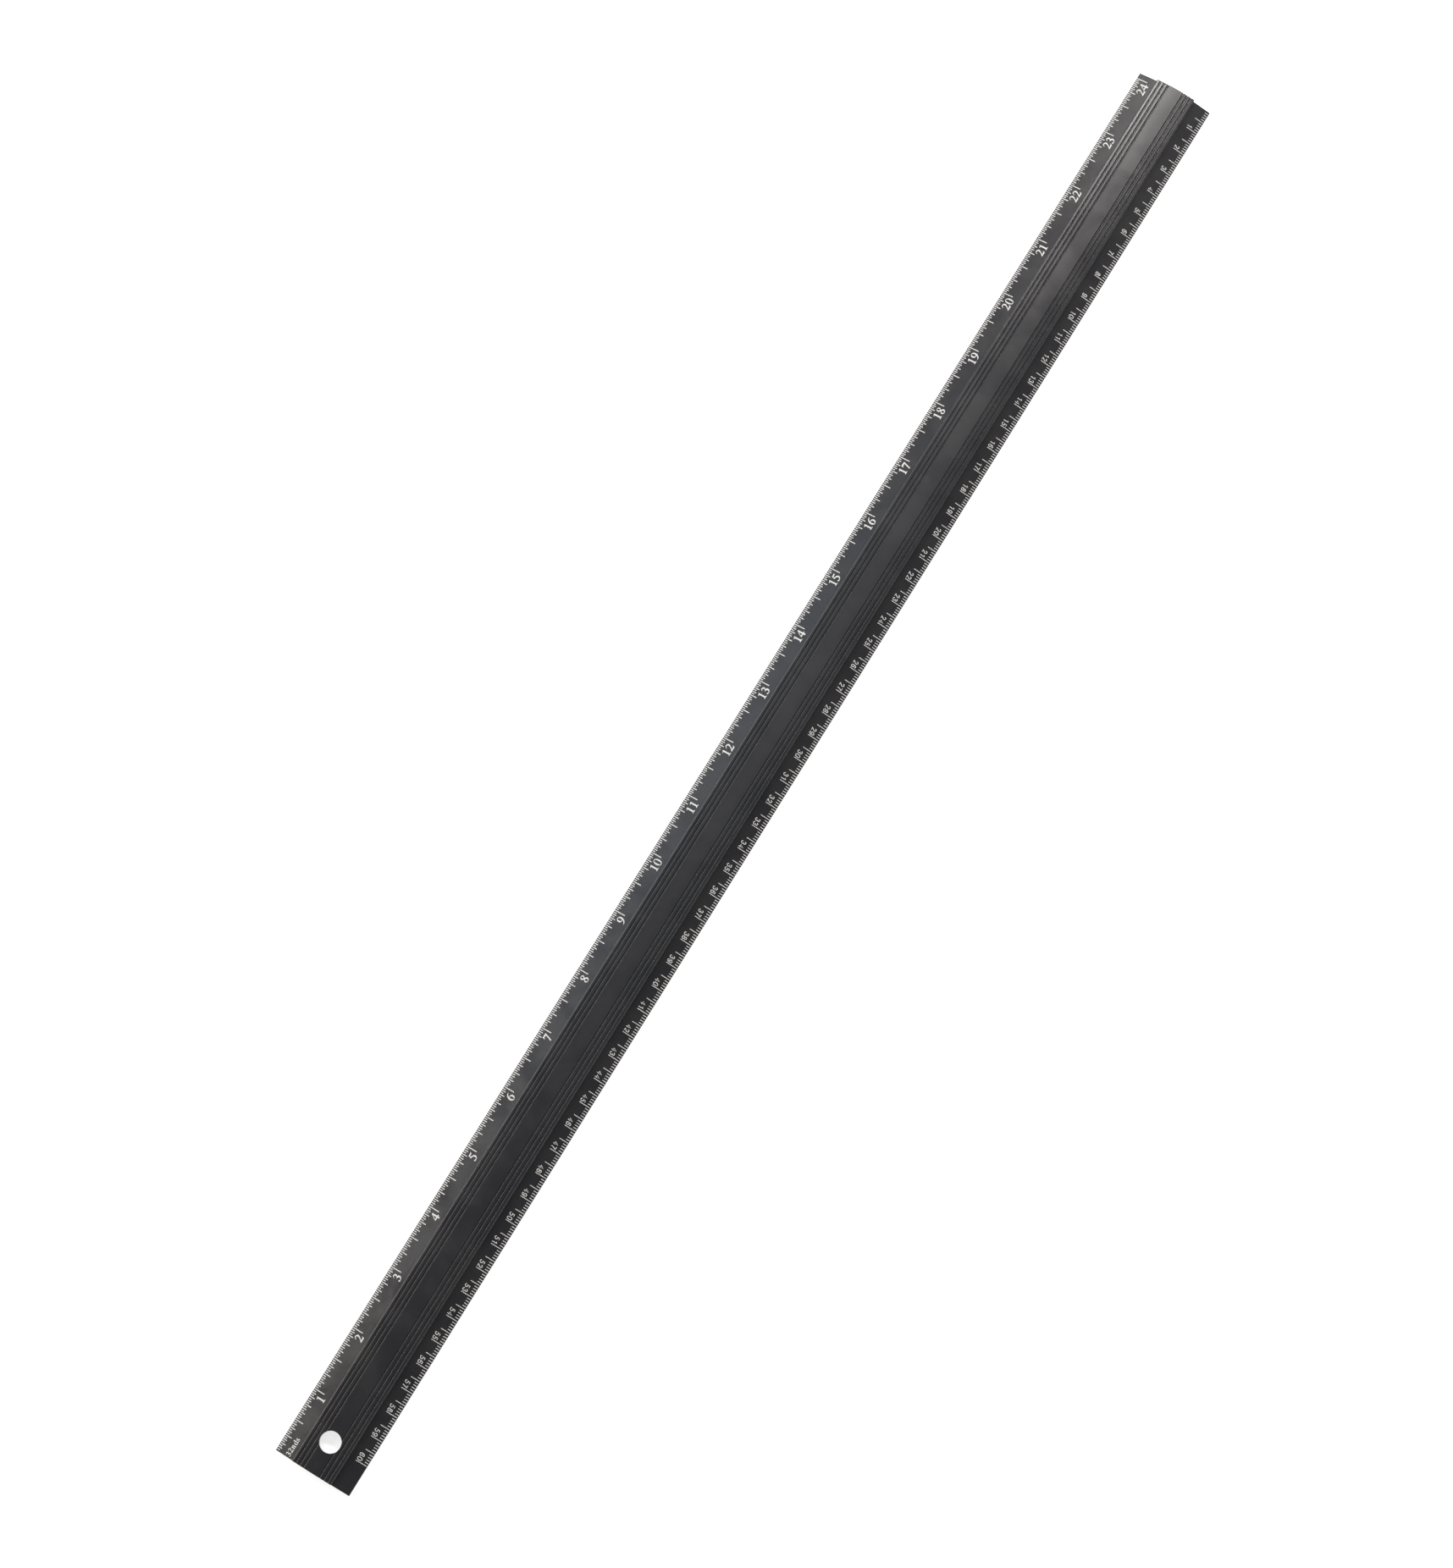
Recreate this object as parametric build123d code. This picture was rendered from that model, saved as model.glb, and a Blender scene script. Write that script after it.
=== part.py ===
from build123d import *
from math import radians, sqrt, tan
import os

# A ruler made from one length of black anodised aluminium extrusion. A thick crowned rib with
# fingertip grooves runs down the middle, and a thin bevelled wing falls away on each side to a
# scale edge. Two rubber strips sit in dovetail channels underneath and stop the ruler sliding.
#
# X runs along the ruler from the inch zero end, +Y is the inch edge, and Z is up from the
# surface that the rubber stands on. The origin is under the middle of the ruler.

# Driving dimensions, in millimetres and degrees

# Length: the inch scale, and the plain tail past its last mark
scale_length = 609.6
tail_length = 2.4

# Wings
width = 31.05
edge_thickness = 0.8
edge_radius = 0.12
wing_slope = 14.0

# Rib
rib_top_width = 16.2
rib_shoulder_height = 4.4
crown_rise = 0.64
flank_draft = 2.0
shoulder_radius = 0.35
foot_radius = 0.2

# Finger grooves on the rib, counted from its shoulders inwards
groove_count = 3
groove_pitch = 1.66
groove_margin = 1.42
groove_width = 0.8
groove_depth = 0.38

# Underside: dovetail channels for the rubber, and the hollow that lightens the rib
channel_offset = 7.9
channel_mouth = 2.6
channel_floor = 3.2
channel_depth = 1.0
channel_web = 1.2
crown_wall = 2.2
hollow_radius = 0.4

# Rubber strips: fit in the channel, stand proud of the metal, and carry ribs
strip_clearance = 0.05
strip_proud = 0.25
strip_end_inset = 0.5
strip_rib_count = 3
strip_rib_gap = 0.3
strip_rib_depth = 0.15

# Hanging hole
hole_diameter = 8.0
hole_inset = 12.6

# Worked out from the driving dimensions

length = scale_length + tail_length
half_width = width / 2
rib_half = rib_top_width / 2
underside = strip_proud
crown_top = underside + rib_shoulder_height + crown_rise
crown_radius = (rib_half**2 + crown_rise**2) / (2 * crown_rise)
channel_roof = underside + channel_depth
hollow_half = channel_offset - channel_floor / 2 - channel_web
overcut = 1.0
tolerance = 0.001


def arc_height(y, top, radius):
    """Height of a crown arc at a distance from the ruler's centre line."""
    return top - radius + sqrt(radius**2 - y**2)


def rib_foot():
    """Point where the drafted flank of the rib meets the top of the wing."""
    slope = tan(radians(wing_slope))
    draft = tan(radians(flank_draft))
    shoulder = rib_shoulder_height
    rise = edge_thickness + slope * (half_width - rib_half - shoulder * draft)
    height = rise / (1 - slope * draft)
    return rib_half + (shoulder - height) * draft, underside + height


def corners_at(profile, distance):
    """Corners of a profile being drawn that lie this far to either side of its centre line."""
    return profile.vertices().filter_by(lambda corner: abs(abs(corner.X) - distance) < tolerance)


def outer_profile():
    """Closed outline of the extrusion before anything is cut from it."""
    foot_y, foot_z = rib_foot()
    edge_top = underside + edge_thickness
    shoulder = underside + rib_shoulder_height
    with BuildSketch(Plane.YZ) as profile:
        with BuildLine():
            Polyline((-rib_half, shoulder), (-foot_y, foot_z), (-half_width, edge_top),
                     (-half_width, underside), (half_width, underside), (half_width, edge_top),
                     (foot_y, foot_z), (rib_half, shoulder))
            ThreePointArc((rib_half, shoulder), (0, crown_top), (-rib_half, shoulder))
        make_face()
        fillet(corners_at(profile, half_width), edge_radius)
        fillet(corners_at(profile, foot_y), foot_radius)
        fillet(corners_at(profile, rib_half), shoulder_radius)
    return profile.sketch


def groove_profiles():
    """Round-bottomed grooves, the same number down each side of the smooth crown."""
    radius = (groove_width**2 / 4 + groove_depth**2) / (2 * groove_depth)
    with BuildSketch(Plane.YZ) as grooves:
        for index in range(groove_count):
            y = rib_half - groove_margin - index * groove_pitch
            z = arc_height(y, crown_top, crown_radius) + radius - groove_depth
            with Locations((y, z), (-y, z)):
                Circle(radius)
    return grooves.sketch


def hollow_profile():
    """Hollow under the rib, with a roof that follows the crown at an even wall."""
    roof = crown_top - crown_wall
    roof_radius = crown_radius - crown_wall
    side = arc_height(hollow_half, roof, roof_radius)
    mouth = underside - overcut
    with BuildSketch(Plane.YZ) as hollow:
        with BuildLine():
            Polyline((-hollow_half, side), (-hollow_half, mouth), (hollow_half, mouth), (hollow_half, side))
            ThreePointArc((hollow_half, side), (0, roof), (-hollow_half, side))
        make_face()
        fillet(hollow.vertices().filter_by(lambda v: v.Y > underside), hollow_radius)
    return hollow.sketch


def dovetail(mouth_width, floor_width, mouth_z, floor_z):
    """Outline of a dovetail, narrow at the underside and wide at its floor."""
    with BuildSketch(Plane.YZ) as tail:
        with BuildLine():
            Polyline((-mouth_width / 2, mouth_z), (mouth_width / 2, mouth_z),
                     (floor_width / 2, floor_z), (-floor_width / 2, floor_z), close=True)
        make_face()
    return tail.sketch


def channel_profile(side):
    """Channel that holds one rubber strip, open at the underside."""
    return Pos(0, side * channel_offset, 0) * dovetail(channel_mouth, channel_floor, underside, channel_roof)


def along_length(profile, start, stop):
    """Profile drawn on the Y-Z plane, pulled along the ruler from start to stop."""
    return extrude(Pos(start, 0, 0) * profile, stop - start, dir=(1, 0, 0))


def ruler_body():
    """The extrusion, cut square at both ends and drilled for hanging."""
    section = outer_profile() - groove_profiles() - hollow_profile()
    section = section - channel_profile(1) - channel_profile(-1)
    bar = along_length(section, -length / 2, length / 2)
    hole = Cylinder(hole_diameter / 2, crown_top + overcut, align=(Align.CENTER, Align.CENTER, Align.MIN))
    return bar - Pos(hole_inset - length / 2, 0, 0) * hole


def grip_strip(side):
    """Rubber strip: a dovetail root that fills its channel, and a ribbed foot below the metal."""
    gap = 2 * strip_clearance
    foot_width = channel_mouth - gap
    root = dovetail(foot_width, channel_floor - gap, underside, channel_roof)
    rib_width = (foot_width - (strip_rib_count - 1) * strip_rib_gap) / strip_rib_count
    with BuildSketch(Plane.YZ) as foot:
        with Locations((0, underside / 2)):
            Rectangle(foot_width, underside)
        for index in range(1, strip_rib_count):
            y = -foot_width / 2 + index * (rib_width + strip_rib_gap) - strip_rib_gap / 2
            with Locations((y, 0)):
                Rectangle(strip_rib_gap, 2 * strip_rib_depth, mode=Mode.SUBTRACT)
    end = length / 2 - strip_end_inset
    return along_length(Pos(0, side * channel_offset, 0) * (root + foot.sketch), -end, end)


os.makedirs("parts", exist_ok=True)
pieces = {
    "ruler_body": ruler_body(),
    "grip_strip_inch_side": grip_strip(1),
    "grip_strip_metric_side": grip_strip(-1),
}
for name, piece in pieces.items():
    export_step(piece, f"parts/{name}.step")
    print(name, round(piece.volume, 1), "mm3")
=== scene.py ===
# %% [markdown]
# # A long black anodised ruler
#
# The real ruler is one length of aluminium extrusion. A crowned rib with finger grooves runs
# down its middle, and a thin bevelled wing falls away on each side to a scale edge. It is
# anodised black, and its inch and millimetre scales are white. Two rubber strips underneath
# stop it sliding.
#
# The solids come to this scene ready made and to size, so they are loaded and left alone. What
# is left for the scene is the finish of each material, the two scales, and the light.

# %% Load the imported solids
import math

import bmesh
import bpy
from mathutils import Matrix, Vector


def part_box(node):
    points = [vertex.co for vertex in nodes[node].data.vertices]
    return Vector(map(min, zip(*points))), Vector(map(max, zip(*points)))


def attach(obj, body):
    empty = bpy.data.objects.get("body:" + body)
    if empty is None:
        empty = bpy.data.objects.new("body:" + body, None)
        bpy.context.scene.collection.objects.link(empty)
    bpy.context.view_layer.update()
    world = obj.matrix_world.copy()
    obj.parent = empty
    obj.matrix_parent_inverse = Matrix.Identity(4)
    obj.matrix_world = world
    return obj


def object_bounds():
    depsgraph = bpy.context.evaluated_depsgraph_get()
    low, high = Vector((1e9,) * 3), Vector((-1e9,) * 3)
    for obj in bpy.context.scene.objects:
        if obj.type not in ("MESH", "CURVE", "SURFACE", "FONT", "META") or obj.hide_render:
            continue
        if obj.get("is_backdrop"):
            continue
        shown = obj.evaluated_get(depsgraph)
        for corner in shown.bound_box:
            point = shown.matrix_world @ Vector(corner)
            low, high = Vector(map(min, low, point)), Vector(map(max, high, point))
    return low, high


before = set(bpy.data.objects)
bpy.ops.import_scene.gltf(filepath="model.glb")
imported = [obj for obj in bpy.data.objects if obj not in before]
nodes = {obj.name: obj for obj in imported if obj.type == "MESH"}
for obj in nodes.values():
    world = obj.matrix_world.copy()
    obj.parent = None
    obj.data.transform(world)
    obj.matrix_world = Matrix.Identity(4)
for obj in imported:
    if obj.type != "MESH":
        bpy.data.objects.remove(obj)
solids_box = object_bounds()
scene = bpy.context.scene
MM = 0.001

print("Solids:", ", ".join(sorted(nodes)))
print("Their box, mm:", [[round(side / MM, 2) for side in point] for point in solids_box])

# %% [markdown]
# ## Measure the wings
#
# Everything white on the ruler lies on its two sloping wings. Their slope could be typed in
# again, but a ray dropped on the solid at two places reads it from the metal itself, so the
# scales still lie flat if the section ever changes.

# %% Drop two rays on the inch wing
ruler = nodes["ruler_body"]
half_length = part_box("ruler_body")[1].x
half_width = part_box("ruler_body")[1].y
above_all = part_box("ruler_body")[1].z + 10 * MM
outer_probe = 1 * MM
inner_probe = 6 * MM


def wing_top(from_edge):
    """Height of the inch wing at a distance in from its scale edge."""
    start = Vector((0, half_width - from_edge, above_all))
    hit_point = ruler.ray_cast(start, Vector((0, 0, -1)))[1]
    return hit_point.z


wing_rise = wing_top(inner_probe) - wing_top(outer_probe)
wing_angle = math.atan2(wing_rise, inner_probe - outer_probe)
edge_height = wing_top(outer_probe) - outer_probe * math.tan(wing_angle)
print("Wing slope, degrees:", round(math.degrees(wing_angle), 2))
print("Top of the scale edge, mm:", round(edge_height / MM, 3))

# %% [markdown]
# ## A flat drawing board on each wing
#
# A scale is easiest to draw flat and in millimetres, as a printer's film is. In that drawing x
# runs along the scale from its zero, y points at the scale edge, which is y = 0, and z leaves
# the metal. One matrix lays the drawing on the inch wing. The metric scale reads from the other
# end and the other side, so its matrix is the same one after half a turn of the ruler.


# %% Matrices from the drawings to the wings
def wing_board():
    """Matrix that lays a flat drawing in millimetres on the inch wing."""
    along = Vector((1, 0, 0))
    outward = Vector((0, math.cos(wing_angle), -math.sin(wing_angle)))
    board = Matrix((along, outward, along.cross(outward))).transposed().to_4x4()
    board.translation = Vector((-half_length, half_width, edge_height))
    return board @ Matrix.Scale(MM, 4)


inch_board = wing_board()
metric_board = Matrix.Rotation(math.pi, 4, "Z") @ inch_board
print("Inch zero is at, mm:", [round(side / MM, 2) for side in inch_board.translation])
print("Metric zero is at, mm:", [round(side / MM, 2) for side in metric_board.translation])

# %% [markdown]
# ## Three small helpers for materials
#
# A paint chip is known by its hex code, which is in sRGB, while the renderer counts light in
# linear amounts, so each colour goes through one function. The second helper adds a node, sets
# its values and links its inputs, so that a material reads as a list of what it is made of.
# The third starts an empty material.


# %% Colour and node helpers
def linear(hex_code):
    """Linear red, green, blue and alpha of an sRGB hex colour."""
    parts = [int(hex_code[place:place + 2], 16) / 255 for place in (1, 3, 5)]
    return [part / 12.92 if part <= 0.04045 else ((part + 0.055) / 1.055) ** 2.4 for part in parts] + [1]


def add_node(tree, kind, settings=None, **inputs):
    """Adds a node. Inputs are named, and each is a value or a socket to link from."""
    node = tree.nodes.new(kind)
    for name, value in (settings or {}).items():
        setattr(node, name, value)
    for name, value in inputs.items():
        key = int(name[1:]) if name[1:].isdigit() else name.replace("_", " ")
        socket = node.inputs[key]
        if isinstance(value, bpy.types.NodeSocket):
            tree.links.new(value, socket)
        else:
            socket.default_value = value
    return node


def new_material(name):
    """An empty node material, its tree, and the socket that its surface plugs into."""
    material = bpy.data.materials.new(name)
    material.use_nodes = True
    material.node_tree.nodes.clear()
    output = add_node(material.node_tree, "ShaderNodeOutputMaterial")
    return material, material.node_tree, output.inputs["Surface"]


dyed_black = [round(part, 4) for part in linear("#323336")[:3]]
print("The dyed black, #323336, is", dyed_black, "in linear light")

# %% [markdown]
# ## Black anodised aluminium
#
# Anodising grows a hard, clear oxide on the aluminium, and a black dye fills its pores. The eye
# sees a deep, slightly cool black with a satin sheen, because the metal was etched dull before
# it went in the bath. Three things break up that sheen. The extrusion die leaves fine lines
# along the bar, the etch leaves a fine grain, and handling leaves faint cloudy smudges, which
# are strongest near the hanging hole, where a hand takes hold of the ruler.
#
# The dye hides the metal, so the surface isn't metallic. It shines as a ceramic does, with
# about the index of porous alumina. The die lines are about 0.05 mm apart on the real bar and the etch grain
# is finer still. Both are too fine to show, so they are drawn at 0.4 mm and 0.15 mm.

# %% Build the anodised finish
DIE_LINE = 0.4 * MM
DIE_LINE_STRETCH = 150
DIE_LINE_DEPTH = 0.004 * MM
ETCH_GRAIN = 0.15 * MM
ETCH_DEPTH = 0.003 * MM
SMUDGE = 12 * MM
EDGE_SOFTNESS = 0.12 * MM
OXIDE_INDEX = 1.7
SATIN_ROUGHNESS = 0.22
LINE_ROUGHNESS = 0.03
SMUDGE_AT_HOLE = 0.13
SMUDGE_PAST_MIDDLE = 0.035

anodised, tree, surface = new_material("black_anodised_aluminium")
place = add_node(tree, "ShaderNodeTexCoord").outputs["Object"]
along_bar = add_node(tree, "ShaderNodeMapping", Vector=place, Scale=(1 / DIE_LINE_STRETCH, 1, 1))
die_lines = add_node(tree, "ShaderNodeTexNoise", Vector=along_bar.outputs[0], Scale=1 / DIE_LINE, Detail=3)
etch = add_node(tree, "ShaderNodeTexNoise", Vector=place, Scale=1 / ETCH_GRAIN, Detail=2)
smudges = add_node(tree, "ShaderNodeTexNoise", Vector=place, Scale=1 / SMUDGE, Detail=2, Roughness=0.5,
                   Distortion=0.5)

cloud = add_node(tree, "ShaderNodeMapRange", {"interpolation_type": "SMOOTHSTEP"},
                 Value=smudges.outputs["Fac"], From_Min=0.3, From_Max=0.7)
black = add_node(tree, "ShaderNodeMix", {"data_type": "RGBA"}, _0=cloud.outputs[0],
                 _6=linear("#323336"), _7=linear("#363739"))
sheen = add_node(tree, "ShaderNodeMath", {"operation": "MULTIPLY_ADD"}, _0=die_lines.outputs["Fac"],
                 _1=LINE_ROUGHNESS, _2=SATIN_ROUGHNESS)
along = add_node(tree, "ShaderNodeSeparateXYZ", Vector=place).outputs["X"]
handling = add_node(tree, "ShaderNodeMapRange", Value=along, From_Min=-half_length, From_Max=0.0,
                    To_Min=SMUDGE_AT_HOLE, To_Max=SMUDGE_PAST_MIDDLE)
centred = add_node(tree, "ShaderNodeMath", {"operation": "SUBTRACT"}, _0=cloud.outputs[0], _1=0.5)
dull = add_node(tree, "ShaderNodeMath", {"operation": "MULTIPLY_ADD"}, _0=centred.outputs[0],
                _1=handling.outputs[0], _2=sheen.outputs[0])

soft_edges = add_node(tree, "ShaderNodeBevel", {"samples": 4}, Radius=EDGE_SOFTNESS)
lined = add_node(tree, "ShaderNodeBump", Strength=0.12, Distance=DIE_LINE_DEPTH,
                 Height=die_lines.outputs["Fac"], Normal=soft_edges.outputs[0])
grained = add_node(tree, "ShaderNodeBump", Strength=0.3, Distance=ETCH_DEPTH,
                   Height=etch.outputs["Fac"], Normal=lined.outputs[0])
oxide = add_node(tree, "ShaderNodeBsdfPrincipled", Base_Color=black.outputs[2], Roughness=dull.outputs[0],
                 IOR=OXIDE_INDEX, Normal=grained.outputs[0])
tree.links.new(oxide.outputs[0], surface)
print("Nodes in", anodised.name + ":", len(tree.nodes))

# %% [markdown]
# ## Rubber
#
# The strips are soft black rubber, extruded and then pressed into their channels. Rubber has
# no sheen to speak of. It is a little greyer than the anodising, because a dusty bloom comes to
# its surface, and its skin is finely pitted.

# %% Build the rubber
RUBBER_PITS = 0.25 * MM
RUBBER_PIT_DEPTH = 0.01 * MM
RUBBER_BLOOM = 6 * MM
RUBBER_ROUGHNESS = 0.78
RUBBER_INDEX = 1.52

rubber, tree, surface = new_material("soft_black_rubber")
place = add_node(tree, "ShaderNodeTexCoord").outputs["Object"]
pits = add_node(tree, "ShaderNodeTexNoise", Vector=place, Scale=1 / RUBBER_PITS, Detail=2)
bloom = add_node(tree, "ShaderNodeTexNoise", Vector=place, Scale=1 / RUBBER_BLOOM, Detail=4)
grey = add_node(tree, "ShaderNodeMix", {"data_type": "RGBA"}, _0=bloom.outputs["Fac"],
                _6=linear("#262626"), _7=linear("#3a3938"))
skin = add_node(tree, "ShaderNodeBump", Strength=0.4, Distance=RUBBER_PIT_DEPTH,
                Height=pits.outputs["Fac"])
soft = add_node(tree, "ShaderNodeBsdfPrincipled", Base_Color=grey.outputs[2],
                Roughness=RUBBER_ROUGHNESS, IOR=RUBBER_INDEX, Normal=skin.outputs[0])
tree.links.new(soft.outputs[0], surface)
print("Nodes in", rubber.name + ":", len(tree.nodes))

# %% [markdown]
# ## White marking
#
# The scales are opened in the black by a laser, which leaves a dry, matte, slightly grainy
# white. A flat white would look like paper, so its density changes a little from place to
# place, at about the size of the laser's spots.

# %% Build the white
LASER_SPOT = 0.12 * MM
LASER_DEPTH = 0.004 * MM
WHITE_PATCH = 3 * MM
WHITE_ROUGHNESS = 0.7

white, tree, surface = new_material("matte_white_marking")
place = add_node(tree, "ShaderNodeTexCoord").outputs["Object"]
spots = add_node(tree, "ShaderNodeTexNoise", Vector=place, Scale=1 / LASER_SPOT, Detail=1)
patches = add_node(tree, "ShaderNodeTexNoise", Vector=place, Scale=1 / WHITE_PATCH, Detail=3)
density = add_node(tree, "ShaderNodeMath", {"operation": "MULTIPLY_ADD"}, _0=spots.outputs["Fac"],
                   _1=0.5, _2=patches.outputs["Fac"])
dry_white = add_node(tree, "ShaderNodeMix", {"data_type": "RGBA"}, _0=density.outputs[0],
                     _6=linear("#dcdcda"), _7=linear("#f0f0ec"))
grain = add_node(tree, "ShaderNodeBump", Strength=0.3, Distance=LASER_DEPTH,
                 Height=spots.outputs["Fac"])
matte = add_node(tree, "ShaderNodeBsdfPrincipled", Base_Color=dry_white.outputs[2],
                 Roughness=WHITE_ROUGHNESS, Normal=grain.outputs[0])
tree.links.new(matte.outputs[0], surface)
print("Nodes in", white.name + ":", len(tree.nodes))

# %% [markdown]
# ## Dress the solids
#
# The solids keep their own meshes, which hold their places and sizes. They only take a better
# material in their slots.

# %% Give each solid its material
finishes = {"ruler_body": anodised, "grip_strip_inch_side": rubber, "grip_strip_metric_side": rubber}
for name, finish in finishes.items():
    nodes[name].data.materials.clear()
    nodes[name].data.materials.append(finish)
    print(name, "is", finish.name)

# %% [markdown]
# ## How a mark is made
#
# A laser mark is flush, so each one here is a plate only 0.02 mm thick, half of it sunk in the
# metal. It can't float off the wing, and no eye sees it stand up. Marks are collected in one
# bmesh for each scale, and the last step lays that on its wing and hands it to the ruler.

# %% Thickness of a mark, and the last step of each piece
MARK_THICKNESS = 0.02


def lay_on_wing(name, marks, board):
    """Turns a flat drawing of marks into a white piece of the ruler, on one wing."""
    bmesh.ops.transform(marks, matrix=board, verts=marks.verts)
    mesh = bpy.data.meshes.new(name)
    marks.to_mesh(mesh)
    marks.free()
    mesh.materials.append(white)
    piece = bpy.data.objects.new(name, mesh)
    scene.collection.objects.link(piece)
    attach(piece, "root")
    mesh.calc_loop_triangles()
    print(name + ":", len(mesh.loop_triangles), "triangles")


# %% [markdown]
# ## The graduations
#
# A scale is a comb of lines whose lengths rank them, so that the eye can count. The inch scale
# is cut in 32nds with six lengths, and the metric scale in millimetres with three. Each line is
# a thin bar from a cube operator, which is closed and has few faces, since there are hundreds.
# Each rank is a step and a length in millimetres, and a line takes the length of the largest
# step that divides its number.

# %% Rank the lines and make both combs
EDGE_GAP = 0.12
INCH = 25.4
INCH_COUNT = 24
INCH_PARTS = 32
INCH_LINE_WIDTH = 0.34
CENTIMETRE = 10
CENTIMETRE_COUNT = 60
METRIC_LINE_WIDTH = 0.24
inch_ranks = [(32, 4.53), (16, 3.61), (8, 2.84), (4, 2.23), (2, 1.77), (1, 1.37)]
metric_ranks = [(10, 4.81), (5, 3.87), (1, 1.64)]


def comb(line_count, pitch, line_width, ranks):
    """Flat drawing of a scale's lines, from the first one after zero."""
    lines = bmesh.new()
    for number in range(1, line_count + 1):
        reach = next(length for step, length in ranks if number % step == 0)
        middle = Vector((number * pitch, -(EDGE_GAP + reach) / 2, 0))
        size = Vector((line_width, reach - EDGE_GAP, MARK_THICKNESS))
        bmesh.ops.create_cube(lines, size=1, matrix=Matrix.LocRotScale(middle, None, size))
    return lines


inch_comb = comb(INCH_COUNT * INCH_PARTS, INCH / INCH_PARTS, INCH_LINE_WIDTH, inch_ranks)
lay_on_wing("inch_graduations", inch_comb, inch_board)
metric_comb = comb(CENTIMETRE_COUNT * CENTIMETRE, 1.0, METRIC_LINE_WIDTH, metric_ranks)
lay_on_wing("metric_graduations", metric_comb, metric_board)

# %% [markdown]
# ## Drawing a numeral
#
# The inch numerals are a bold book face with serifs, thick where a broad pen would press. Such
# a shape is drawn by its outline. The metric numerals are plain, with one line width all over,
# so they are drawn by the path of a flat pen.
#
# Both are Bezier curves on a grid where a digit is 100 tall. A round point has automatic
# handles, which make a smooth bend, and a corner has vector handles, which make straight
# runs. A curve in Blender can be filled or swept, so the same points give a solid either way.


# %% Points, rings and curves
DIGIT_GRID = 100


def smooth(x, y):
    """Round point of a drawn line."""
    return x, y, "AUTO"


def corner(x, y):
    """Sharp point of a drawn line."""
    return x, y, "VECTOR"


def ring(x, y, across, up):
    """Closed oval round a middle point."""
    return [smooth(x + across, y), smooth(x, y + up), smooth(x - across, y), smooth(x, y - up)]


def half_turn(lines, width):
    """The same lines turned half round, as a 6 is turned to make a 9."""
    return [[(width - x, DIGIT_GRID - y, kind) for x, y, kind in line] for line in lines]


def is_ring(line):
    """Whether a pen line is an oval, which closes on itself."""
    return all(kind == "AUTO" for x, y, kind in line)


def draw(name, lines, height, closed):
    """Bezier curve of the drawn lines, scaled so that a digit has this height."""
    curve = bpy.data.curves.new(name, "CURVE")
    curve.resolution_u = 4
    for line in lines:
        spline = curve.splines.new("BEZIER")
        spline.bezier_points.add(len(line) - 1)
        spline.use_cyclic_u = closed or is_ring(line)
        for point, (x, y, kind) in zip(spline.bezier_points, line):
            point.co = (x * height / DIGIT_GRID, y * height / DIGIT_GRID, 0)
            point.handle_left_type = kind
            point.handle_right_type = kind
    return curve


def solid_of(curve):
    """Mesh of a curve's solid. Its caps and sides come unjoined, so they are merged."""
    holder = bpy.data.objects.new(curve.name, curve)
    scene.collection.objects.link(holder)
    finished = holder.evaluated_get(bpy.context.evaluated_depsgraph_get())
    mesh = bpy.data.meshes.new_from_object(finished)
    bpy.data.objects.remove(holder)
    solid = bmesh.new()
    solid.from_mesh(mesh)
    bmesh.ops.remove_doubles(solid, verts=solid.verts, dist=MARK_THICKNESS / 10)
    bmesh.ops.recalc_face_normals(solid, faces=solid.faces)
    solid.to_mesh(mesh)
    solid.free()
    return mesh


def write(marks, text, shapes, left, baseline, advances):
    """Adds the solids of a text to a flat drawing, one after the other from the left."""
    for letter in text:
        first_new = len(marks.verts)
        marks.from_mesh(shapes[letter])
        marks.verts.ensure_lookup_table()
        bmesh.ops.translate(marks, verts=marks.verts[first_new:], vec=(left, baseline, 0))
        left += advances[letter]


# %% [markdown]
# ## The inch numerals
#
# Each outline below goes once round the ink, and a second or third line in the same shape cuts
# a counter, the hole in a 4 or an 8. A 9 is a 6 turned half round. All digits have the same
# advance, so that the numbers stay in column along the scale.

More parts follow.
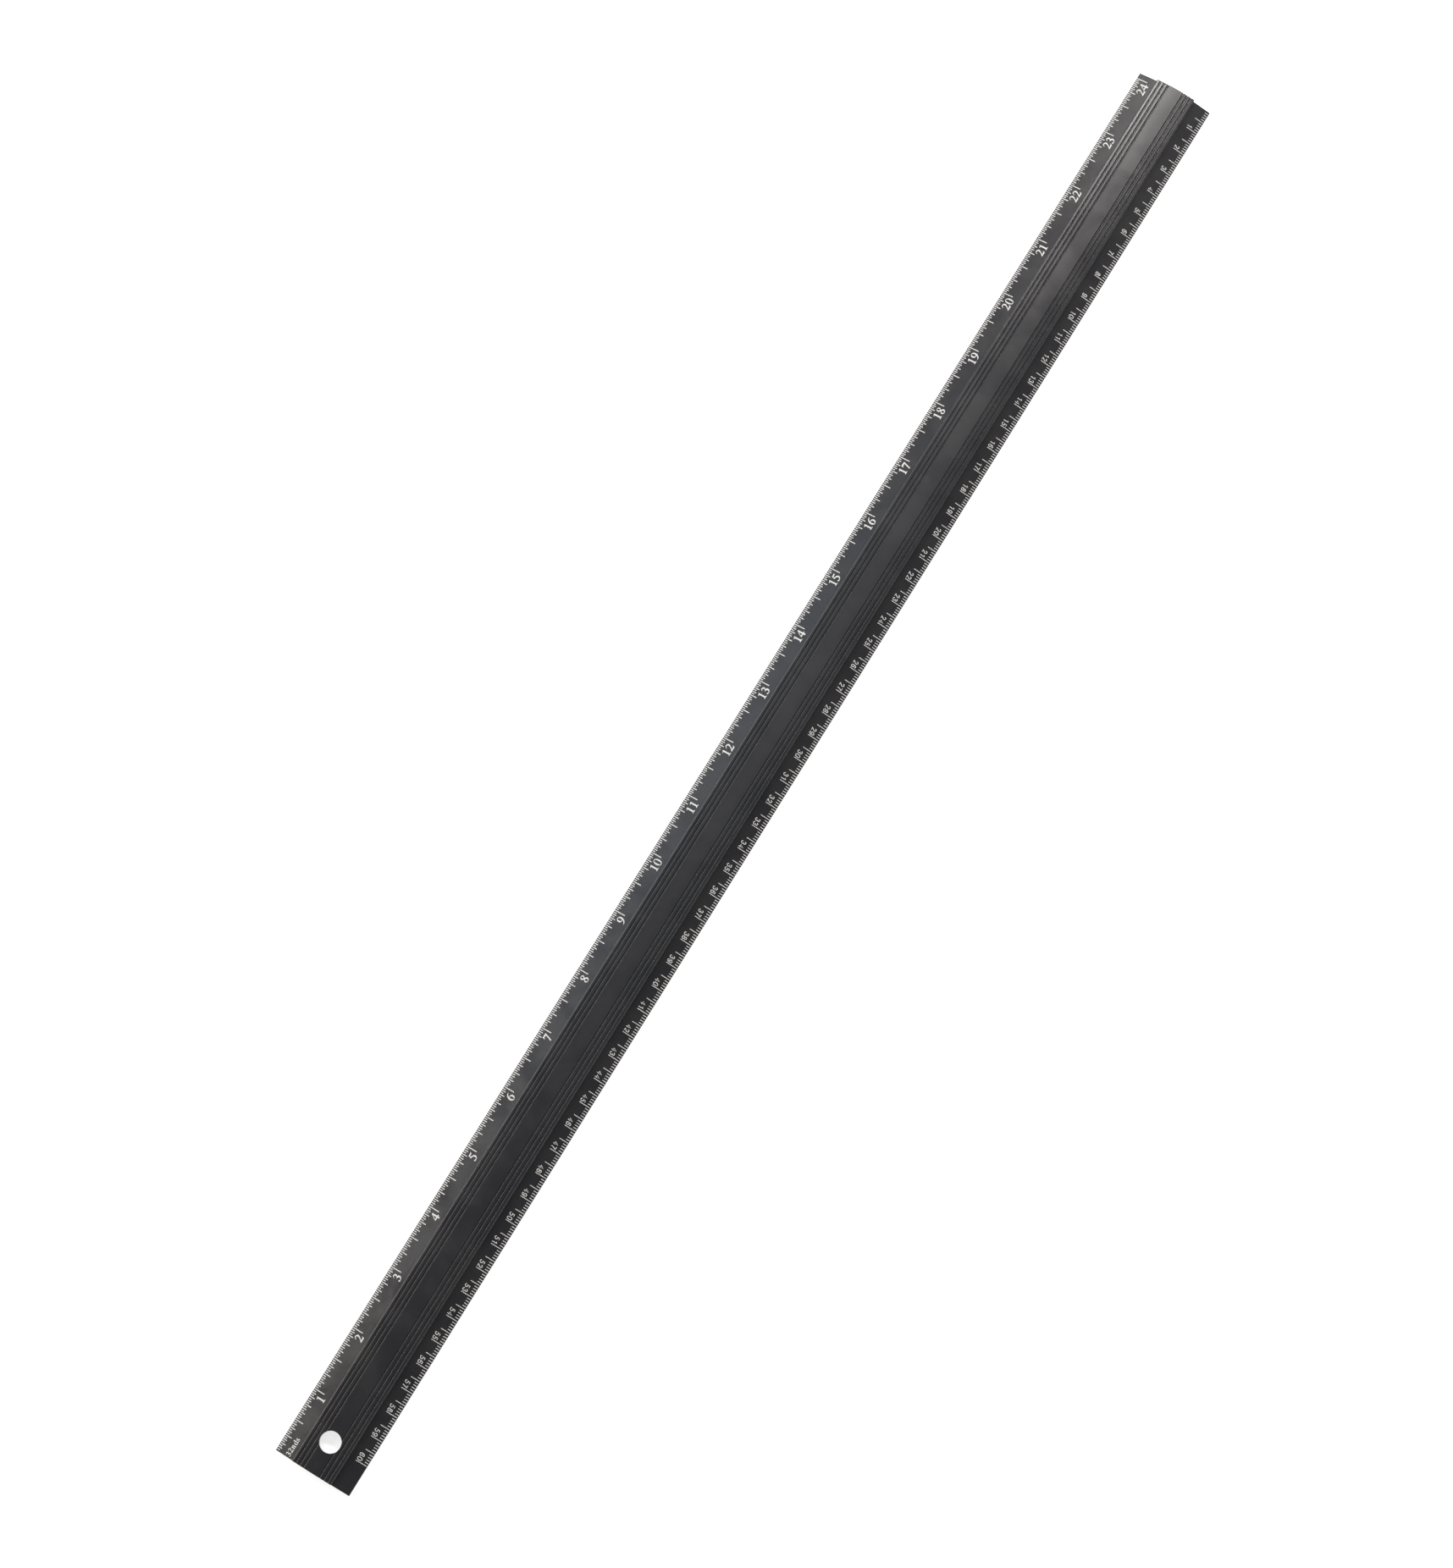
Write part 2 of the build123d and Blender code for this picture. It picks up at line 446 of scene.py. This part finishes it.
# %% Outlines of the book face
outlines = {
    "0": [ring(37, 50, 34, 52), ring(37, 50, 16, 45)],
    "1": [[corner(15, 0), corner(61, 0), corner(61, 5), corner(47, 10), corner(47, 102), corner(42, 102),
           corner(13, 88), corner(15, 83), corner(29, 86), corner(29, 10), corner(15, 5)]],
    "2": [[corner(5, 71), smooth(14, 94), smooth(36, 102), smooth(63, 77), smooth(53, 52), corner(27, 16),
           corner(50, 16), smooth(61, 19), corner(67, 29), corner(71, 28), corner(64, 0), corner(2, 0),
           corner(2, 4), smooth(34, 42), smooth(44, 71), smooth(39, 86), smooth(28, 91), smooth(17, 86),
           corner(9, 70)]],
    "3": [[corner(7, 79), smooth(18, 97), smooth(35, 102), smooth(59, 80), corner(46, 59), smooth(60, 49),
           smooth(66, 31), smooth(51, 6), smooth(22, -2), smooth(8, 1), smooth(4, 9), smooth(12, 16),
           smooth(22, 11), smooth(32, 5), smooth(47, 25), smooth(38, 42), corner(20, 46), corner(20, 51),
           smooth(35, 58), smooth(41, 75), smooth(36, 86), smooth(27, 90), smooth(18, 87), corner(11, 78)]],
    "4": [[corner(45, 102), corner(58, 102), corner(58, 36), corner(71, 36), corner(71, 22), corner(58, 22),
           corner(58, 0), corner(39, 0), corner(39, 22), corner(2, 22), corner(2, 34)],
          [corner(39, 36), corner(39, 80), corner(11, 36)]],
    "5": [[corner(18, 99), corner(58, 99), corner(64, 105), corner(67, 104), corner(58, 83), corner(26, 83),
           corner(23, 70), smooth(53, 56), smooth(65, 32), smooth(49, 6), smooth(18, -2), smooth(7, 1),
           smooth(4, 9), smooth(12, 16), smooth(22, 11), smooth(32, 6), smooth(46, 28), smooth(34, 51),
           corner(8, 57)]],
    "6": [[corner(67, 102), smooth(42, 97), smooth(15, 73), smooth(4, 38), smooth(12, 10), smooth(36, -2),
           smooth(62, 9), smooth(70, 32), smooth(63, 54), smooth(44, 63), corner(26, 59), smooth(40, 83),
           corner(67, 98)],
          [smooth(51, 30), smooth(47, 50), smooth(36, 55), corner(25, 52), smooth(23, 35), smooth(29, 10),
           smooth(38, 4), smooth(48, 12)]],
    "7": [[corner(7, 100), corner(70, 100), corner(70, 96), corner(38, -2), corner(23, -2), corner(50, 82),
           corner(24, 82), smooth(15, 79), corner(8, 68), corner(4, 69)]],
    "8": [[smooth(37, 102), smooth(64, 79), smooth(50, 55), smooth(69, 26), smooth(36, -2), smooth(5, 24),
           smooth(24, 49), smooth(9, 75)],
          [smooth(37, 96), smooth(24, 80), corner(42, 61), smooth(50, 79)],
          [smooth(36, 5), smooth(51, 22), corner(31, 44), smooth(21, 26)]],
    "n": [[corner(3, 0), corner(37, 0), corner(37, 4), corner(30, 8), corner(30, 52), smooth(40, 58),
           corner(46, 48), corner(46, 8), corner(40, 4), corner(40, 0), corner(75, 0), corner(75, 4),
           corner(65, 8), corner(65, 48), smooth(60, 66), smooth(49, 72), corner(30, 61), corner(30, 71),
           corner(4, 71), corner(4, 67), corner(12, 62), corner(12, 8), corner(3, 4)]],
    "d": [[corner(70, 102), corner(70, 10), corner(79, 6), corner(79, 2), corner(52, -2), corner(52, 7),
           smooth(33, -2), smooth(5, 34), smooth(35, 72), corner(52, 65), corner(52, 92), corner(43, 97),
           corner(43, 101)],
          [corner(52, 15), smooth(43, 8), smooth(24, 36), smooth(43, 65), corner(52, 56)]],
    "s": [[corner(45, 71), corner(46, 50), corner(42, 50), smooth(26, 66), smooth(19, 57), smooth(34, 43),
           smooth(49, 21), smooth(26, -2), corner(10, 2), corner(4, -1), corner(4, 24), corner(8, 24),
           smooth(24, 4), smooth(33, 13), smooth(18, 28), smooth(4, 51), smooth(25, 72), corner(39, 68)]],
}
outlines["9"] = half_turn(outlines["6"], 74)
outline_advance = {letter: 75 for letter in "0123456789"} | {"n": 80, "d": 82, "s": 52}
print("Drawn in the book face:", " ".join(sorted(outlines)))

# %% [markdown]
# A filled curve is flat, and its Extrude value gives it thickness to both sides. The filled
# solids are made once for each digit, at the height that they are printed, and then copied to
# each place where a number needs them.


# %% Fill the outlines and number the inches
def filled_letters(letters, height):
    """Solids of some letters of the book face at a height, and how far each moves the pen."""
    shapes = {}
    for letter in letters:
        curve = draw("outline_" + letter, outlines[letter], height, closed=True)
        curve.dimensions = "2D"
        curve.fill_mode = "BOTH"
        curve.extrude = MARK_THICKNESS / 2
        shapes[letter] = solid_of(curve)
    return shapes, {letter: outline_advance[letter] * height / DIGIT_GRID for letter in letters}


INCH_NUMERAL_HEIGHT = 3.25
INCH_NUMERAL_BASELINE = -5.93
INCH_NUMERAL_TO_LINE = 0.9

shapes, advances = filled_letters("0123456789", INCH_NUMERAL_HEIGHT)
numerals = bmesh.new()
for inch in range(1, INCH_COUNT + 1):
    text = str(inch)
    left = inch * INCH - INCH_NUMERAL_TO_LINE - sum(advances[letter] for letter in text)
    write(numerals, text, shapes, left, INCH_NUMERAL_BASELINE, advances)
lay_on_wing("inch_numerals", numerals, inch_board)

# %% [markdown]
# ## The unit of the inch scale
#
# A small word beside the zero says that the inch is cut in 32nds. It is the same face at little
# more than half the size, on the same baseline as the numerals.

# %% Write the unit
UNIT_HEIGHT = 1.95
UNIT_LEFT = 0.55

shapes, advances = filled_letters("23nds", UNIT_HEIGHT)
unit = bmesh.new()
write(unit, "32nds", shapes, UNIT_LEFT, INCH_NUMERAL_BASELINE, advances)
lay_on_wing("inch_unit", unit, inch_board)

# %% [markdown]
# ## The metric numerals
#
# A flat pen of one width follows the middle of each stroke. In Blender the pen is a small
# rectangle that the curve takes as its bevel object, and Z Up keeps the pen from rolling as it
# turns. A curve has to be 3D for its bevel to stand up, although all its points lie flat.

# %% Pen strokes of the plain face
strokes = {
    "0": [ring(30, 50, 24, 44)],
    "1": [[corner(38, 100), corner(38, 0)], [corner(12, 77), smooth(28, 81), corner(37, 95)]],
    "2": [[corner(7, 67), smooth(14, 86), smooth(31, 93), smooth(51, 70), smooth(40, 45), corner(9, 7),
           corner(56, 7)]],
    "3": [[corner(7, 73), smooth(14, 88), smooth(30, 93), smooth(50, 74), smooth(41, 58), corner(24, 54),
           smooth(44, 49), smooth(53, 30), smooth(30, 7), smooth(12, 12), corner(6, 29)]],
    "4": [[corner(43, 0), corner(43, 93), corner(7, 30), corner(60, 30)]],
    "5": [[corner(52, 93), corner(17, 93), corner(11, 48), smooth(31, 60), smooth(53, 33), smooth(30, 7),
           smooth(12, 11), corner(6, 25)]],
    "6": [[corner(52, 75), smooth(44, 89), smooth(31, 93), smooth(13, 79), smooth(7, 46), smooth(12, 17),
           smooth(30, 7), smooth(53, 32), smooth(31, 59), smooth(14, 50), corner(8, 36)]],
    "7": [[corner(6, 93), corner(54, 93), smooth(35, 57), corner(25, 0)]],
    "8": [ring(30, 74, 20, 19), ring(30, 30, 24, 23)],
}
strokes["9"] = half_turn(strokes["6"], 60)
print("Drawn in the plain face:", " ".join(sorted(strokes)))

# %% Sweep the pen and number the centimetres
METRIC_NUMERAL_HEIGHT = 2.1
METRIC_NUMERAL_BASELINE = -4.91
METRIC_NUMERAL_TO_LINE = 0.1
METRIC_ADVANCE = 1.62
PEN_WIDTH = 0.3


def pen_nib():
    """Flat rectangle that a curve sweeps along its points."""
    curve = bpy.data.curves.new("pen_nib", "CURVE")
    nib = curve.splines.new("POLY")
    nib.points.add(3)
    nib.use_cyclic_u = True
    corners = [(-1, -1), (1, -1), (1, 1), (-1, 1)]
    for point, (x, y) in zip(nib.points, corners):
        point.co = (x * PEN_WIDTH / 2, y * MARK_THICKNESS / 2, 0, 1)
    return bpy.data.objects.new("pen_nib", curve)


nib = pen_nib()
shapes = {}
for digit, lines in strokes.items():
    curve = draw("stroke_" + digit, lines, METRIC_NUMERAL_HEIGHT, closed=False)
    curve.dimensions = "3D"
    curve.twist_mode = "Z_UP"
    curve.bevel_mode = "OBJECT"
    curve.bevel_object = nib
    curve.use_fill_caps = True
    shapes[digit] = solid_of(curve)
bpy.data.objects.remove(nib)

advances = {digit: METRIC_ADVANCE for digit in strokes}
numerals = bmesh.new()
for centimetre in range(1, CENTIMETRE_COUNT + 1):
    text = str(centimetre)
    left = centimetre * CENTIMETRE - METRIC_NUMERAL_TO_LINE - METRIC_ADVANCE * len(text)
    write(numerals, text, shapes, left, METRIC_NUMERAL_BASELINE, advances)
lay_on_wing("metric_numerals", numerals, metric_board)

# %% [markdown]
# ## The table
#
# The ruler lies on a plain white table that runs past every edge of the view. The table is
# matte and takes the ruler's soft shadow. Light Path lets the table look brighter to the eye,
# to a mirror and through glass than it is to the light, so that it turns to clean white
# without more light on the ruler.


# %% Lay the table
def seen_directly(tree):
    """Socket that is 1 for rays from the eye, a mirror or glass, and 0 for the rest."""
    ray = add_node(tree, "ShaderNodeLightPath")
    eye_or_mirror = add_node(tree, "ShaderNodeMath", {"operation": "MAXIMUM"},
                             _0=ray.outputs["Is Camera Ray"], _1=ray.outputs["Is Glossy Ray"])
    any_of_three = add_node(tree, "ShaderNodeMath", {"operation": "MAXIMUM"},
                            _0=eye_or_mirror.outputs[0], _1=ray.outputs["Is Transmission Ray"])
    return any_of_three.outputs[0]


def flat_sheet(name, reach, height, finish):
    """Square stage piece, level and centred, that is no part of the ruler."""
    sheet = bmesh.new()
    bmesh.ops.create_grid(sheet, x_segments=1, y_segments=1, size=reach)
    bmesh.ops.translate(sheet, verts=sheet.verts, vec=(0, 0, height))
    mesh = bpy.data.meshes.new(name)
    sheet.to_mesh(mesh)
    sheet.free()
    mesh.materials.append(finish)
    stage_piece = bpy.data.objects.new(name, mesh)
    scene.collection.objects.link(stage_piece)
    stage_piece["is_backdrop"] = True
    return stage_piece


TABLE_REACH = 12.0
TABLE_LIFT = 0.7

paper, tree, surface = new_material("white_table")
lift = add_node(tree, "ShaderNodeMath", {"operation": "MULTIPLY"}, _0=seen_directly(tree), _1=TABLE_LIFT)
matte = add_node(tree, "ShaderNodeBsdfDiffuse", Color=linear("#e6e6e4"))
glow = add_node(tree, "ShaderNodeEmission", Color=linear("#ffffff"), Strength=lift.outputs[0])
both = add_node(tree, "ShaderNodeAddShader", _0=matte.outputs[0], _1=glow.outputs[0])
tree.links.new(both.outputs[0], surface)

flat_sheet("table", TABLE_REACH, 0, paper)
print("The table reaches", TABLE_REACH, "m each way")

# %% [markdown]
# ## The light
#
# A satin black thing is lit by what it reflects. One softbox hangs beyond the plain end of the
# ruler, where the crown of the rib mirrors it, so the rib brightens towards that end. Two more
# stand side by side on the inch side and light the inch wing, one a little warm and one a
# little cool, as in a room with a lamp and a window. A weak panel overhead lifts the middle of
# the rib. The air round them is a low, even fill.

# %% Hang the softboxes


def softbox(name, place, size, brightness, tint):
    """Area lamp that faces the middle of the ruler. Brightness is what a mirror would show."""
    lamp = bpy.data.lights.new(name, "AREA")
    lamp.color = linear(tint)[:3]
    lamp.shape = "RECTANGLE"
    lamp.size, lamp.size_y = size
    lamp.energy = brightness * math.pi * size[0] * size[1]
    holder = bpy.data.objects.new(name, lamp)
    holder.location = place
    holder.rotation_euler = (-Vector(place)).to_track_quat("-Z", "Y").to_euler()
    holder.visible_camera = False
    scene.collection.objects.link(holder)
    print(name, "sends", round(lamp.energy, 1), "W")


softbox("end_softbox", (1.33, 0.26, 1.735), (1.49, 0.224), 24.5, "#fff8f6")
softbox("warm_side_softbox", (-0.42, 1.79, 1.44), (0.75, 1.13), 3.6, "#fff4e9")
softbox("cool_side_softbox", (0.35, 1.79, 1.44), (0.79, 1.13), 3.3, "#ebf4ff")
softbox("overhead_panel", (0.48, 0.22, 2.2), (0.56, 0.6), 0.35, "#f4f6ff")

# %% Fill the room
FILL_BRIGHTNESS = 0.33

world = bpy.data.worlds.new("room")
scene.world = world
world.use_nodes = True
tree = world.node_tree
tree.nodes.clear()
fill = add_node(tree, "ShaderNodeBackground", Color=linear("#ffffff"), Strength=FILL_BRIGHTNESS)
bright = add_node(tree, "ShaderNodeBackground", Color=linear("#ffffff"), Strength=1.0)
room = add_node(tree, "ShaderNodeMixShader", _0=seen_directly(tree), _1=fill.outputs[0],
                _2=bright.outputs[0])
add_node(tree, "ShaderNodeOutputWorld", Surface=room.outputs[0])
print("Nodes in the room's light:", len(tree.nodes))

# %% [markdown]
# ## A dark ceiling
#
# A bright room would grey the whole top face, so a dark ceiling hangs over the table, and
# the flat of the rib mirrors that. It is there for reflections only: the fill passes through
# it, and the camera never sees it.

# %% Hang the ceiling
CEILING_HEIGHT = 2.3
CEILING_REACH = 7.0

charcoal, tree, surface = new_material("dark_ceiling")
dark = add_node(tree, "ShaderNodeBsdfDiffuse", Color=linear("#1c1c1c"))
tree.links.new(dark.outputs[0], surface)
ceiling = flat_sheet("ceiling", CEILING_REACH, CEILING_HEIGHT, charcoal)
ceiling.visible_camera = False
ceiling.visible_diffuse = False
ceiling.visible_shadow = False
print("The ceiling is", CEILING_HEIGHT, "m up")

# %% [markdown]
# ## The camera
#
# The ruler is seen from almost straight above, from a little over a metre up, and turned so
# that its plain end points to the top right. The long lens keeps the far end almost as wide as
# the near one.

# %% Set the camera
CAMERA_PLACE = (-0.2312, -0.11966, 1.2689)
CAMERA_TURN = (11.111, -0.287, -58.454)
CAMERA_LENS = 80.157

camera_data = bpy.data.cameras.new("camera")
camera_data.sensor_width = 36
camera_data.lens = CAMERA_LENS
camera_data.clip_end = 50
camera = bpy.data.objects.new("camera", camera_data)
camera.location = CAMERA_PLACE
camera.rotation_euler = [math.radians(angle) for angle in CAMERA_TURN]
scene.collection.objects.link(camera)
scene.camera = camera
scene.view_settings.view_transform = "Standard"
print("The camera is", round(camera.location.z, 3), "m up")

# %% [markdown]
# ## Print the size
#
# The dressed ruler has to stay as large as its solids, so both boxes are printed.

# %% Print both boxes
sizes = {"solids": solids_box, "dressed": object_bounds()}
plain = {name: [list(point) for point in box] for name, box in sizes.items()}
for name, box in plain.items():
    print(name, "box, mm:", [[round(side / MM, 2) for side in point] for point in box])
